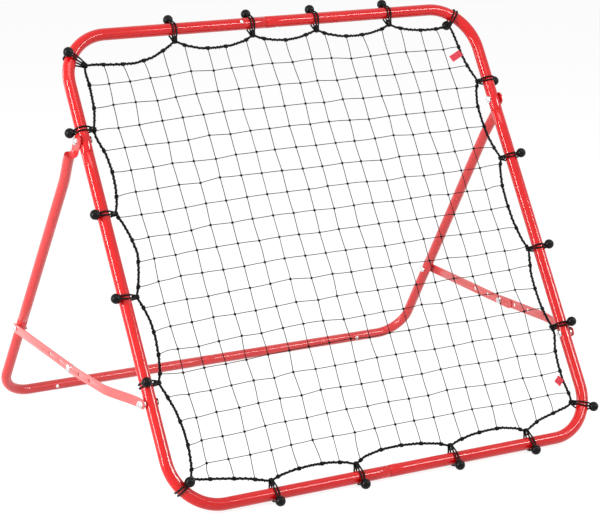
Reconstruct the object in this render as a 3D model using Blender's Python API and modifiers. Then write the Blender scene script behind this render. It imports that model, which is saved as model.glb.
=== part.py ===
"""Folding rebounder: a square net on a leaning tube frame, held open by a hinged rear stand and two
jointed side struts. Metres, +Z up, +X to the right of someone facing the net, +Y towards the rear."""

import math
from collections import namedtuple

import bmesh
import bpy
from mathutils import Matrix, Vector

MM = 0.001

# Front frame: a one metre square of round tube, measured across its outside. Its bottom tube is
# held clear of the ground by the balls and loops of the ties there.
FRAME_SIDE = 1000 * MM
TUBE_R = 12.5 * MM
TUBE_WALL = 1.2 * MM
BEND_R = 100 * MM
LEAN = math.radians(33)
CORD_R = 1.75 * MM
GAP = 0.3 * MM
TUBE_AXIS_Z = 15.9 * MM
HALF = FRAME_SIDE / 2 - TUBE_R
SIDE = 2 * HALF
FRONT_Y = -389.0 * MM

# Rear stand: a U of thinner tube, hinged on the outside of the frame's side tubes
STAND_R = 11 * MM
STAND_BEND_R = 65 * MM
PIVOT_V = 755 * MM
STAND_BAR_Y = 800 * MM
LEG_X_PIVOT = 505 * MM
LEG_X_GROUND = 517 * MM
LEG_X_TUBE_END = 511.2 * MM
TUBE_END_DROP = 36 * MM
LEG_SET_DROP = 115 * MM
TAB_THICK = 3 * MM
TAB_R = 14 * MM

# Struts: two flat bars each, bolted to frame and stand and hinged together at the knee
STRUT_FRAME_V = 216.5 * MM
STRUT_STAND_FRACTION = 0.285
KNEE_FRACTION = 0.4965
KNEE_SAG = 7 * MM
BAR_WIDTH = 20 * MM
BAR_THICK = 2.5 * MM
HOLE_PITCH = 50 * MM
REAR_BAR_REACH = 42 * MM
FRONT_BAR_REACH = 14 * MM
FRONT_BAR_STANDOFF = 4 * MM
SLANT_START = 14 * MM
SLANT_END = 124 * MM

# Tube joints, given by where the seams lie
SIDE_SEAM_V = 728 * MM
TOP_SEAM_X = -20 * MM
BOTTOM_SEAM_X = -23 * MM
LEG_SEAM_ABOVE_STRUT = 26 * MM
SPIGOT = 50 * MM
TOP_SPIGOT = 80 * MM
SEAM_STEP = 0.6 * MM
SPIGOT_CLEAR = 1.65 * MM

# Net, rope and bungee ties
NET_CELLS = 16
NET_PITCH = 55 * MM
TWINE = 1.8 * MM
ROPE_R = 3.2 * MM
BALL_R = 9.5 * MM
BALL_REACH = 24.2 * MM
ROPE_INSET = 25.5 * MM
LOOP_SLACK = 1.0 * MM
LOOP_WIDTH = 1.7
NET_INSET = 9.5 * MM
NET_CORNER_INSET = 14 * MM
CORNER_RUN = 9 * MM

# Each tie: where it sits along its side, and how far its ball is turned from the outer side to the front
TOP_TIES = ((-236, -14), (-55, -14), (99, -14), (280, -14))
BOTTOM_TIES = ((-281, 41), (-89, 41), (134, 41), (322, 41))
LEFT_TIES = ((776, -20), (598, 27), (426, 25), (252, 70))
RIGHT_TIES = ((800, -21), (620, 50), (410, 40), (234, 60))
# Each corner tie: its angle round the bend, the turn of its ball, and the rope's inset there
CORNER_TIES = {
    "top_left": (148, 57, 31 * MM),
    "top_right": (54, -135, 27 * MM),
    "bottom_left": (215, 122, 29 * MM),
    "bottom_right": (334, 36, 26 * MM),
}
# How deep the rope hangs inwards on its way from each tie to the next, at these parts of the way
ROPE_PARTS = (0.1, 0.3, 0.5, 0.7, 0.9)
ROPE_DEPTHS = {
    "top_left": (3.7, 14.9, 23.5, 21.8, 9.6),
    "top_1": (11.5, 21.2, 22.5, 19.9, 11.0),
    "top_2": (9.1, 15.6, 17.9, 14.4, 5.8),
    "top_3": (10.6, 19.3, 21.0, 18.0, 9.8),
    "top_4": (7.8, 12.2, 12.6, 10.2, 4.5),
    "top_right": (-0.8, 2.4, 5.8, 6.9, 2.9),
    "right_1": (10.6, 19.9, 20.1, 17.6, 8.6),
    "right_2": (9.9, 18.4, 19.8, 17.6, 9.4),
    "right_3": (3.8, 12.5, 13.8, 12.4, 6.0),
    "right_4": (-1.9, 7.3, 9.2, 7.8, 0.5),
    "bottom_right": (-3.2, -0.3, 2.6, 5.1, 1.8),
    "bottom_1": (9.3, 17.0, 17.2, 14.6, 7.0),
    "bottom_2": (8.9, 16.9, 20.7, 19.9, 12.2),
    "bottom_3": (7.8, 13.9, 15.3, 13.2, 7.0),
    "bottom_4": (1.1, 3.3, 2.5, 1.0, -1.3),
    "bottom_left": (9.3, 16.9, 18.9, 15.7, 6.3),
    "left_1": (8.9, 15.1, 18.1, 16.6, 7.8),
    "left_2": (8.7, 18.8, 26.0, 20.6, 9.8),
    "left_3": (8.7, 15.4, 16.7, 12.6, 0.8),
    "left_4": (3.7, 7.4, 6.0, 4.0, -1.4),
}

# Ribbon tags on the rope: middle, size and turn in the frame's plane
TAGS = {
    "tag_upper": ((422, 861), (32, 15), 24),
    "tag_lower": ((436, 116), (18, 16), 38),
}
TAG_THICK = 0.8 * MM

# Fasteners
BOLT_R = 4 * MM
BOLT_HOLE_R = 4.4 * MM
HEAD_R = 8 * MM
NUT_R = 7.5 * MM
SCREW_R = 2 * MM

SIDES = 12
BEND_STEPS = 7
ARC = math.pi / 2

RED = ((0.70, 0.012, 0.012, 1), 0.28, 0.0)
BLACK_CORD = ((0.012, 0.012, 0.014, 1), 0.75, 0.0)
BLACK_BALL = ((0.01, 0.01, 0.012, 1), 0.30, 0.0)
ZINC = ((0.62, 0.64, 0.66, 1), 0.28, 1.0)
TAG_RED = ((0.62, 0.02, 0.02, 1), 0.60, 0.0)

# Leaning plane of the frame: u across, v up the frame, n out of its front
frame_matrix = Matrix.Translation((0, FRONT_Y, TUBE_AXIS_Z)) @ Matrix.Rotation(-LEAN, 4, "X")


def on_frame(u, v, n=0.0):
    return Vector((u, -n, v))


STAND_BAR_Z = STAND_R * math.cos(math.pi / SIDES)
pivot = frame_matrix @ on_frame(0, PIVOT_V)
bar_centre = Vector((0, FRONT_Y + STAND_BAR_Y, STAND_BAR_Z))
LEG = (bar_centre - pivot).length
LEG_ANGLE = math.atan2(bar_centre.y - pivot.y, pivot.z - bar_centre.z)
stand_matrix = Matrix.Translation(pivot) @ Matrix.Rotation(LEG_ANGLE, 4, "X")
STRUT_DROP = LEG * (1 - STRUT_STAND_FRACTION)
LEG_SEAM_DROP = STRUT_DROP - LEG_SEAM_ABOVE_STRUT
strut_frame = frame_matrix @ on_frame(0, STRUT_FRAME_V)
strut_stand = stand_matrix @ Vector((0, 0, -STRUT_DROP))
knee = strut_stand.lerp(strut_frame, KNEE_FRACTION) - Vector((0, 0, KNEE_SAG))


def leg_x(drop):
    return LEG_X_PIVOT + (LEG_X_GROUND - LEG_X_PIVOT) * drop / LEG


# Lateral planes of the strut bars, from the stand's tube outwards
REAR_BAR_X = leg_x(STRUT_DROP) + STAND_R + GAP
FRONT_BAR_X = REAR_BAR_X + BAR_THICK + GAP
FRONT_BAR_END_X = HALF + TUBE_R + GAP + FRONT_BAR_STANDOFF + GAP

for old in list(bpy.data.objects):
    bpy.data.objects.remove(old, do_unlink=True)

parts = bpy.data.collections.new("rebounder_net")
cutters = bpy.data.collections.new("cutters")
for collection in (parts, cutters):
    bpy.context.scene.collection.children.link(collection)


def finish(name, look):
    colour, roughness, metallic = look
    material = bpy.data.materials.get(name) or bpy.data.materials.new(name)
    material.use_nodes = True
    shader = material.node_tree.nodes["Principled BSDF"]
    shader.inputs["Base Color"].default_value = colour
    shader.inputs["Roughness"].default_value = roughness
    shader.inputs["Metallic"].default_value = metallic
    material.diffuse_color = colour
    return material


red = finish("red_powder_coat", RED)
cord_black = finish("black_cord", BLACK_CORD)
ball_black = finish("black_ball", BLACK_BALL)
zinc = finish("zinc", ZINC)
tag_red = finish("red_ribbon", TAG_RED)


def empty(name, matrix):
    marker = bpy.data.objects.new(name, None)
    parts.objects.link(marker)
    marker.matrix_world = matrix
    return marker


frame_axis = empty("front_frame_axes", frame_matrix)
stand_axis = empty("stand_pivot_axis", stand_matrix)


def add(name, data, material=None, parent=None, matrix=None):
    obj = bpy.data.objects.new(name, data)
    (parts if material else cutters).objects.link(obj)
    if material:
        data.materials.append(material)
    else:
        obj.hide_render = True
        obj.display_type = "WIRE"
    obj.parent = parent
    if matrix is not None:
        obj.matrix_local = matrix
    return obj


def mesh_from(build, smooth=True):
    """A mesh made by build(bm), with its faces turned outwards."""
    bm = bmesh.new()
    build(bm)
    bmesh.ops.recalc_face_normals(bm, faces=bm.faces)
    mesh = bpy.data.meshes.new("shape")
    bm.to_mesh(mesh)
    bm.free()
    if smooth:
        mesh.shade_smooth()
        mesh.set_sharp_from_angle(angle=math.radians(35))
    return mesh


def swept(points, radii, depth, sides, cyclic=False, tilt=0.0, caps=True):
    """A mesh swept along a curve through the points, welded and with its faces turned outwards."""
    curve = bpy.data.curves.new("path", "CURVE")
    curve.dimensions = "3D"
    curve.bevel_depth = depth
    curve.bevel_resolution = (sides - 4) // 2
    curve.use_fill_caps = caps
    spline = curve.splines.new("POLY")
    spline.points.add(len(points) - 1)
    for point, place, radius in zip(spline.points, points, radii):
        point.co = (*place, 1)
        point.radius = radius
        point.tilt = tilt
    spline.use_cyclic_u = cyclic
    carrier = add("path", curve)
    bpy.context.view_layer.update()
    graph = bpy.context.evaluated_depsgraph_get()
    mesh = bpy.data.meshes.new_from_object(carrier.evaluated_get(graph))
    bpy.data.objects.remove(carrier)
    bm = bmesh.new()
    bm.from_mesh(mesh)
    bmesh.ops.remove_doubles(bm, verts=bm.verts, dist=0.01 * MM)
    bmesh.ops.recalc_face_normals(bm, faces=bm.faces)
    bm.to_mesh(mesh)
    bm.free()
    mesh.shade_smooth()
    mesh.set_sharp_from_angle(angle=math.radians(35))
    return mesh


def bent(corners, radius):
    """The points of a path through the corners, with an arc of this radius at each inner one."""
    points = [corners[0]]
    for before, corner, after in zip(corners, corners[1:], corners[2:]):
        back = (before - corner).normalized()
        on = (after - corner).normalized()
        half = back.angle(on) / 2
        centre = corner + (back + on).normalized() * (radius / math.sin(half))
        first = corner + back * (radius / math.tan(half))
        turn = math.pi - 2 * half
        axis = back.cross(on).normalized()
        for step in range(BEND_STEPS + 1):
            spin = Matrix.Rotation(-turn * step / BEND_STEPS, 3, axis)
            points.append(centre + spin @ (first - centre))
    points.append(corners[-1])
    return points


def stepped(points, radius, spigot):
    """Adds a thinner spigot of this length past the path's last point, and gives the radii."""
    radii = [1.0] * len(points)
    if spigot:
        along = (points[-1] - points[-2]).normalized()
        seam = points[-1]
        thin = (radius - SPIGOT_CLEAR) / radius
        points = points[:-1] + [seam - along * SEAM_STEP, seam, seam + along * spigot]
        radii = [1.0] * (len(points) - 2) + [thin, thin]
    return points, radii


def tube(name, corners, radius, bend, spigot, parent, tilt=0.0):
    """A hollow bent tube. Its last end can carry a spigot that slips into its neighbour."""
    points, radii = stepped(bent(corners, bend), radius, spigot)
    mesh = swept(points, radii, radius, SIDES, tilt=tilt, caps=False)
    obj = add(name, mesh, red, parent)
    wall = obj.modifiers.new("wall", "SOLIDIFY")
    wall.thickness = TUBE_WALL
    wall.offset = -1
    wall.use_even_offset = True
    return obj


def combine(obj, other, operation):
    boolean = obj.modifiers.new(operation.lower(), "BOOLEAN")
    boolean.object = other
    boolean.operation = operation


def rod_cutter(name, radius, length, parent, matrix, sides=SIDES):
    def build(bm):
        bmesh.ops.create_cone(
            bm, cap_ends=True, segments=sides, radius1=radius, radius2=radius, depth=length
        )

    return add(name, mesh_from(build, smooth=False), parent=parent, matrix=matrix)


def across(place):
    """Turns local Z to +X, at this place."""
    return Matrix.Translation(place) @ Matrix.Rotation(ARC, 4, "Y")


def drill(obj, place, length, parent, radius=BOLT_HOLE_R):
    """A hole along X through the object, centred on this place of its parent."""
    combine(obj, rod_cutter(obj.name + "_hole", radius, length, parent, across(place)), "DIFFERENCE")


def drill_along(obj, place, direction, length, parent, radius):
    turn = Vector((0, 0, 1)).rotation_difference(direction).to_matrix().to_4x4()
    matrix = Matrix.Translation(place) @ turn
    combine(obj, rod_cutter(obj.name + "_screw_hole", radius, length, parent, matrix), "DIFFERENCE")


def turned(name, profile, material, matrix, parent=None, steps=SIDES):
    """A round or hexagonal piece: a profile of (radius, height) points turned about its Z axis."""
    mesh = bpy.data.meshes.new("profile")
    points = [(radius, 0, height) for radius, height in profile]
    closed = profile[0][0] > 0
    edges = [(i, i + 1) for i in range(len(points) - 1)]
    if closed:
        edges.append((len(points) - 1, 0))
    mesh.from_pydata(points, edges, [])
    obj = add(name, mesh, material, parent, matrix)
    screw = obj.modifiers.new("turn", "SCREW")
    screw.steps = steps
    screw.render_steps = steps
    screw.use_merge_vertices = True
    screw.merge_threshold = 0.01 * MM
    screw.use_smooth_shade = steps > 6
    return obj


def outward(side, x, place):
    """Turns local Z outwards along X, at this distance from the middle plane."""
    turn = Matrix.Rotation(ARC * side, 4, "Y")
    return Matrix.Translation((side * x, place.y, place.z)) @ turn


def dome_bolt(name, length, matrix):
    """A coach bolt. Its dome lies below its origin, and its shank runs up local Z."""
    dome = 3.5 * MM
    profile = [(0, length), (BOLT_R - 0.6 * MM, length), (BOLT_R, length - 0.8 * MM), (BOLT_R, 0)]
    profile += [(HEAD_R, 0), (HEAD_R * 0.72, -dome * 0.7), (0, -dome)]
    return turned(name, profile, zinc, matrix)


def nut(name, thick, matrix):
    """A hexagon nut above its origin, loose enough to clear the bolt's round shank."""
    bore = (BOLT_R + GAP) / math.cos(math.pi / 6)
    bevel = 0.8 * MM
    profile = [(bore, thick), (NUT_R - bevel, thick), (NUT_R, thick - bevel), (NUT_R, 0), (bore, 0)]
    return turned(name, profile, zinc, matrix, steps=6)


def small_screw(name, radius, head, length, matrix, parent):
    profile = [(0, head), (radius * 0.7, head * 0.85), (radius, head * 0.3), (radius, 0)]
    profile += [(SCREW_R, 0), (SCREW_R, -length), (0, -length)]
    return turned(name, profile, zinc, matrix, parent, steps=8)


# Front frame tubes. The seams leave one gap between neighbours.
top_left = [on_frame(-HALF, SIDE_SEAM_V + GAP), on_frame(-HALF, SIDE), on_frame(TOP_SEAM_X - GAP, SIDE)]
top_right = [on_frame(HALF, SIDE_SEAM_V + GAP), on_frame(HALF, SIDE), on_frame(TOP_SEAM_X, SIDE)]
low_left = [on_frame(BOTTOM_SEAM_X - GAP, 0), on_frame(-HALF, 0), on_frame(-HALF, SIDE_SEAM_V)]
low_right = [on_frame(BOTTOM_SEAM_X, 0), on_frame(HALF, 0), on_frame(HALF, SIDE_SEAM_V)]
frame_upper_left = tube("frame_upper_left", top_left, TUBE_R, BEND_R, 0, frame_axis)
frame_upper_right = tube("frame_upper_right", top_right, TUBE_R, BEND_R, TOP_SPIGOT, frame_axis)
frame_lower_left = tube("frame_lower_left", low_left, TUBE_R, BEND_R, SPIGOT, frame_axis)
frame_lower_right = tube("frame_lower_right", low_right, TUBE_R, BEND_R, SPIGOT, frame_axis)


def stand_point(side, drop):
    return Vector((side * leg_x(drop), 0, -drop))


def tab_loft(side):
    """The solid flattened end of a leg, from a plug inside its tube to the round tip of its tab."""
    plug_r = STAND_R - 0.6 * TUBE_WALL
    tab_x = HALF + TUBE_R + GAP + TAB_THICK / 2
    stations = [
        (-TUBE_END_DROP - 12 * MM, LEG_X_TUBE_END, plug_r, plug_r, 1.0),
        (-TUBE_END_DROP, LEG_X_TUBE_END, plug_r, plug_r, 1.0),
        (-TUBE_END_DROP + 6 * MM, tab_x + 1.6 * MM, 3.1 * MM, 12.5 * MM, 0.5),
        (-TUBE_END_DROP + 12 * MM, tab_x, TAB_THICK / 2, TAB_R, 0.3),
        (-TAB_R, tab_x, TAB_THICK / 2, TAB_R, 0.3),
    ]
    for height in (0.0, 7 * MM, 11.5 * MM, 13.5 * MM):
        stations.append((height, tab_x, TAB_THICK / 2, math.sqrt(TAB_R**2 - height**2), 0.3))

    def build(bm):
        rings = []
        for height, centre, thick, wide, power in stations:
            ring = []
            for step in range(SIDES):
                angle = 2 * math.pi * (step + 0.5) / SIDES
                bulge = math.copysign(abs(math.cos(angle)) ** power, math.cos(angle))
                x = side * (centre + thick * bulge)
                ring.append(bm.verts.new((x, wide * math.sin(angle), height)))
            rings.append(ring)
        for low, high in zip(rings, rings[1:]):
            for step in range(SIDES):
                after = (step + 1) % SIDES
                bm.faces.new((low[step], low[after], high[after], high[step]))
        bm.faces.new(rings[0])
        bm.faces.new(rings[-1])

    return mesh_from(build)


# Rear stand tubes: two legs with flattened tops, and two halves of the ground bar
FLAT_DOWN = math.pi / SIDES - LEG_ANGLE
stand_tubes = {}
for side, word in ((-1, "left"), (1, "right")):
    leg_path = [
        stand_point(side, LEG_SEAM_DROP - GAP),
        stand_point(side, LEG_SET_DROP),
        Vector((side * (LEG_X_TUBE_END - 1.2 * MM), 0, -(LEG_SET_DROP + 2 * TUBE_END_DROP) / 3)),
        Vector((side * LEG_X_TUBE_END, 0, -TUBE_END_DROP)),
    ]
    leg_mesh = swept(leg_path, [1.0] * 4, STAND_R, SIDES, caps=False)
    leg = add("stand_leg_" + word, leg_mesh, red, stand_axis)
    wall = leg.modifiers.new("wall", "SOLIDIFY")
    wall.thickness = TUBE_WALL
    wall.offset = -1
    wall.use_even_offset = True
    combine(leg, add("tab_" + word, tab_loft(side), parent=stand_axis), "UNION")
    drill(leg, (side * (HALF + TUBE_R), 0, 0), 20 * MM, stand_axis)
    seam_x = BOTTOM_SEAM_X + (GAP if side > 0 else 0)
    ground_corner = Vector((side * LEG_X_GROUND, 0, -LEG))
    leg_seam = stand_point(side, LEG_SEAM_DROP)
    path = [Vector((seam_x, 0, -LEG)), ground_corner, leg_seam]
    turn = FLAT_DOWN * side
    stand_tubes[side] = tube("stand_base_" + word, path, STAND_R, STAND_BEND_R, SPIGOT, stand_axis, turn)
    strut_place = (side * leg_x(STRUT_DROP), 0, -STRUT_DROP)
    drill(stand_tubes[side], strut_place, 3 * STAND_R, stand_axis)


def sleeve(obj, seam, radius, parent, tilt=0.0):
    """A short inner tube, fixed in this tube's end at the seam, that slips into the tube to its right."""
    points = [seam + Vector((x, 0, 0)) for x in (-12 * MM, -SEAM_STEP, 0, SPIGOT)]
    held = (radius - 0.6 * TUBE_WALL) / radius
    loose = (radius - SPIGOT_CLEAR) / radius
    mesh = swept(points, [held, held, loose, loose], radius, SIDES, tilt=tilt, caps=False)
    inner = add(obj.name + "_sleeve", mesh, parent=parent)
    wall = inner.modifiers.new("wall", "SOLIDIFY")
    wall.thickness = TUBE_WALL
    wall.offset = -1
    wall.use_even_offset = True
    combine(obj, inner, "UNION")


sleeve(stand_tubes[-1], Vector((BOTTOM_SEAM_X, 0, -LEG)), STAND_R, stand_axis, FLAT_DOWN)
sleeve(frame_lower_left, on_frame(BOTTOM_SEAM_X - GAP, 0), TUBE_R, frame_axis)

# Bolt holes through the frame's side tubes. The pivot bolt also goes through the lower tube's spigot.
for side, upper, lower in (
    (-1, frame_upper_left, frame_lower_left),
    (1, frame_upper_right, frame_lower_right),
):
    for piece, v in ((upper, PIVOT_V), (lower, PIVOT_V), (lower, STRUT_FRAME_V)):
        drill(piece, on_frame(side * HALF, v), 3 * TUBE_R, frame_axis)


def flat_bar(name, side, plane_x, hinge, reach, holes, slant=0.0):
    """A round-ended flat bar that runs from its hinge hole through the knee and on by its reach. Its slant
    is how far its hinge end lies inwards of its knee end."""
    span = knee - hinge
    length = span.length + reach
    half = BAR_WIDTH / 2
    curve = bpy.data.curves.new("outline", "CURVE")
    curve.dimensions = "2D"
    curve.fill_mode = "BOTH"
    curve.extrude = BAR_THICK / 2
    outline = []
    for step in range(9):
        angle = ARC + math.pi * step / 8
        outline.append((half * math.cos(angle), half * math.sin(angle)))
    for step in range(9):
        angle = -ARC + math.pi * step / 8
        outline.append((length - half + half * math.cos(angle), half * math.sin(angle)))
    rings = [outline]
    for place, radius in [(0.0, BOLT_HOLE_R), (span.length, BOLT_HOLE_R)] + [(at, BOLT_R) for at in holes]:
        turns = [2 * math.pi * step / 10 for step in range(10)]
        rings.append([(place + radius * math.cos(a), radius * math.sin(a)) for a in turns])
    for ring in rings:
        spline = curve.splines.new("POLY")
        spline.points.add(len(ring) - 1)
        for point, (x, y) in zip(spline.points, ring):
            point.co = (x, y, 0, 1)
        spline.use_cyclic_u = True
    carrier = add("outline", curve)
    bpy.context.view_layer.update()
    graph = bpy.context.evaluated_depsgraph_get()
    mesh = bpy.data.meshes.new_from_object(carrier.evaluated_get(graph))
    bpy.data.objects.remove(carrier)
    mesh.transform(Matrix.Rotation(-ARC, 4, "Y"))
    bm = bmesh.new()
    bm.from_mesh(mesh)
    bmesh.ops.remove_doubles(bm, verts=bm.verts, dist=0.01 * MM)
    if slant:
        for height in (SLANT_START, SLANT_END):
            every = list(bm.verts) + list(bm.edges) + list(bm.faces)
            bmesh.ops.bisect_plane(bm, geom=every, dist=1e-6, plane_co=(0, 0, height), plane_no=(0, 0, 1))
        for vert in bm.verts:
            along = (SLANT_END - vert.co.z) / (SLANT_END - SLANT_START)
            vert.co.x -= side * slant * min(1.0, max(0.0, along))
    bmesh.ops.recalc_face_normals(bm, faces=bm.faces)
    bm.to_mesh(mesh)
    bm.free()
    turn = Matrix.Rotation(math.atan2(-span.y, span.z), 4, "X")
    place = Matrix.Translation((side * (plane_x + BAR_THICK / 2), hinge.y, hinge.z))
    return add(name, mesh, red, matrix=place @ turn)


# Struts and their fasteners
NUT_THICK = 6.5 * MM
THIN_NUT = 4.5 * MM
END_PROUD = 2.5 * MM
tab_outer_x = HALF + TUBE_R + GAP + TAB_THICK
bolt_seat_x = HALF - TUBE_R - GAP
rear_span = (knee - strut_stand).length
front_span = (knee - strut_frame).length
for side, word in ((-1, "left"), (1, "right")):
    rear_holes = [rear_span - HOLE_PITCH, rear_span - 2 * HOLE_PITCH]
    front_holes = [front_span - HOLE_PITCH, front_span - 2 * HOLE_PITCH]
    flat_bar("strut_rear_bar_" + word, side, REAR_BAR_X, strut_stand, REAR_BAR_REACH, rear_holes)
    slant = FRONT_BAR_X - FRONT_BAR_END_X
    flat_bar("strut_front_bar_" + word, side, FRONT_BAR_X, strut_frame, FRONT_BAR_REACH, front_holes, slant)

    pivot_nut_x = tab_outer_x + GAP
    dome_bolt(
        "pivot_bolt_" + word,
        pivot_nut_x + NUT_THICK + END_PROUD - bolt_seat_x,
        outward(side, bolt_seat_x, pivot),
    )
    nut("pivot_nut_" + word, NUT_THICK, outward(side, pivot_nut_x, pivot))

    frame_nut_x = FRONT_BAR_END_X + BAR_THICK + GAP
    dome_bolt(
        "strut_frame_bolt_" + word,
        frame_nut_x + NUT_THICK + END_PROUD - bolt_seat_x,
        outward(side, bolt_seat_x, strut_frame),
    )
    nut("strut_frame_nut_" + word, NUT_THICK, outward(side, frame_nut_x, strut_frame))
    bore, rim = BOLT_R + GAP, 6.5 * MM
    ring = [(bore, FRONT_BAR_STANDOFF), (rim, FRONT_BAR_STANDOFF), (rim, 0), (bore, 0)]
    spacer_place = outward(side, HALF + TUBE_R + GAP, strut_frame)
    turned("strut_spacer_" + word, ring, zinc, spacer_place)

    stand_head_x = REAR_BAR_X + BAR_THICK + GAP
    stand_nut_x = leg_x(STRUT_DROP) - STAND_R - GAP
    stand_bolt_length = stand_head_x - stand_nut_x + THIN_NUT + GAP
    dome_bolt("strut_stand_bolt_" + word, stand_bolt_length, outward(-side, -stand_head_x, strut_stand))
    nut("strut_stand_nut_" + word, THIN_NUT, outward(-side, -stand_nut_x, strut_stand))

    # The knee bolt is parted where the two bars meet: its head stays with the front bar
    knee_head_x = FRONT_BAR_X + BAR_THICK + GAP
    dome_bolt("knee_bolt_" + word, BAR_THICK + GAP, outward(-side, -knee_head_x, knee))
    knee_nut_x = REAR_BAR_X - GAP
    profile = [(0, BAR_THICK), (BOLT_R, BAR_THICK), (BOLT_R, 0), (NUT_R, 0)]
    profile += [(NUT_R, -NUT_THICK + 0.8 * MM), (NUT_R - 0.8 * MM, -NUT_THICK), (0, -NUT_THICK)]
    turned("knee_nut_" + word, profile, zinc, outward(side, knee_nut_x, knee), steps=6)


def facing(place, direction):
    """Turns local Z to this direction, at this place."""
    return Matrix.Translation(place) @ Vector((0, 0, 1)).rotation_difference(direction).to_matrix().to_4x4()


# Screws and rivets of the tube joints
TOP_SCREW_X = -80 * MM
TOP_RIVET_X = 5 * MM
BOTTOM_RIVET_X = -5 * MM
BASE_SCREW_X = 3 * MM
BASE_BUTTON_X = 388 * MM
SCREW_HOLE_R = SCREW_R + 0.5 * MM
front = Vector((0, -1, 0))
up = Vector((0, 0, 1))
joint_screws = (
    ("top_joint_screw", (frame_upper_left, frame_upper_right), on_frame(TOP_SCREW_X, SIDE), front, 8 * MM),
    ("top_joint_rivet", (frame_upper_right,), on_frame(TOP_RIVET_X, SIDE), -up, 4 * MM),
    ("bottom_joint_rivet", (frame_lower_left, frame_lower_right), on_frame(BOTTOM_RIVET_X, 0), up, 6 * MM),
)
for name, pieces, axis_point, direction, length in joint_screws:
    for piece in pieces:
        drill_along(piece, axis_point + direction * TUBE_R, direction, 16 * MM, frame_axis, SCREW_HOLE_R)
    place = facing(axis_point + direction * (TUBE_R + GAP), direction)
    small_screw(name, 3.6 * MM, 1.6 * MM, length, place, frame_axis)
base_screws = (
    ("base_joint_screw", (stand_tubes[-1], stand_tubes[1]), BASE_SCREW_X, up, 6 * MM),
    ("base_button_left", (stand_tubes[-1],), -BASE_BUTTON_X, front, 4 * MM),
    ("base_button_right", (stand_tubes[1],), BASE_BUTTON_X, front, 4 * MM),
)
for name, pieces, x, direction, length in base_screws:
    axis_point = Vector((x, bar_centre.y, bar_centre.z))
    for piece in pieces:
        drill_along(piece, axis_point + direction * STAND_R, direction, 16 * MM, None, SCREW_HOLE_R)
    place = facing(axis_point + direction * (STAND_R + GAP), direction)
    small_screw(name, 4 * MM, 1.6 * MM, length, place, None)

# Each tie goes round the tube at its middle point and holds the rope at its inset, inwards from there
Tie = namedtuple("Tie", "name middle inward inset ball_turn corner")
ties = []


def side_ties(name, places, middle, inward):
    for number, (at, ball_turn) in enumerate(places, 1):
        ties.append(Tie(f"tie_{name}_{number}", middle(at * MM), inward, ROPE_INSET, ball_turn, False))


def corner_tie(name, side, v):
    angle, ball_turn, inset = CORNER_TIES[name]
    out = on_frame(math.cos(math.radians(angle)), math.sin(math.radians(angle)))
    middle = on_frame(side * (HALF - BEND_R), v) + out * BEND_R
    ties.append(Tie("tie_" + name, middle, -out, inset, ball_turn, True))


corner_tie("top_left", -1, SIDE - BEND_R)
side_ties("top", TOP_TIES, lambda at: on_frame(at, SIDE), on_frame(0, -1))
corner_tie("top_right", 1, SIDE - BEND_R)
side_ties("right", RIGHT_TIES, lambda at: on_frame(HALF, at), on_frame(-1, 0))
corner_tie("bottom_right", 1, BEND_R)
side_ties("bottom", BOTTOM_TIES[::-1], lambda at: on_frame(at, 0), on_frame(0, 1))
corner_tie("bottom_left", -1, BEND_R)
side_ties("left", LEFT_TIES[::-1], lambda at: on_frame(-HALF, at), on_frame(1, 0))

for tie in ties:
    # An elastic loop in one plane, round the tube and the rope
    big = TUBE_R + GAP + CORD_R
    small = ROPE_R + LOOP_SLACK + CORD_R
    touch = math.acos((big - small) / tie.inset)
    loop_points = []
    for step in range(9):
        angle = touch + (2 * math.pi - 2 * touch) * step / 8
        loop_points.append(Vector((big * math.cos(angle), big * math.sin(angle), 0)))
    for step in range(5):
        angle = -touch + 2 * touch * step / 4
        loop_points.append(Vector((tie.inset + small * math.cos(angle), small * math.sin(angle), 0)))
    loop_mesh = swept(loop_points, [1.0] * len(loop_points), CORD_R, 4, cyclic=True, tilt=ARC / 2)
    loop_mesh.transform(Matrix.Diagonal((1, 1, LOOP_WIDTH, 1)))
    forward = on_frame(0, 0, 1)
    axes = Matrix((tie.inward, forward, tie.inward.cross(forward))).transposed().to_4x4()
    matrix = Matrix.Translation(tie.middle) @ axes
    loop = add(tie.name, loop_mesh, ball_black, frame_axis, matrix)
    # The ball that closes the loop, seated against the tube
    turn = math.radians(tie.ball_turn)
    seat = Vector((-math.cos(turn), math.sin(turn), 0)) * BALL_REACH
    ball_mesh = mesh_from(lambda bm: bmesh.ops.create_icosphere(bm, subdivisions=2, radius=BALL_R))
    ball = add(tie.name + "_ball", ball_mesh, parent=frame_axis, matrix=matrix @ Matrix.Translation(seat))
    combine(loop, ball, "UNION")


def rope_place(tie):
    return tie.middle + tie.inward * tie.inset


def corner_run(tie, way):
    """At a corner tie the rope first runs square to the tie, a little way towards the next."""
    square = tie.inward.cross(on_frame(0, 0, 1))
    return rope_place(tie) + square * math.copysign(CORNER_RUN, square.dot(way))


# Border rope: it hangs inwards in cusps from tie to tie
rope_points = []
for tie, following in zip(ties, ties[1:] + ties[:1]):
    start = rope_place(tie)
    chord = rope_place(following) - start
    inward = Vector((chord.z, 0, -chord.x)).normalized()
    rope_points.append(start)
    if tie.corner:
        rope_points.append(corner_run(tie, chord))
    for part, depth in zip(ROPE_PARTS, ROPE_DEPTHS[tie.name.removeprefix("tie_")]):
        rope_points.append(start + chord * part + inward * depth * MM)
    if following.corner:
        rope_points.append(corner_run(following, -chord))
rope_mesh = swept(rope_points, [1.0] * len(rope_points), ROPE_R, 6, cyclic=True)
add("border_rope", rope_mesh, cord_black, frame_axis)


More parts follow.
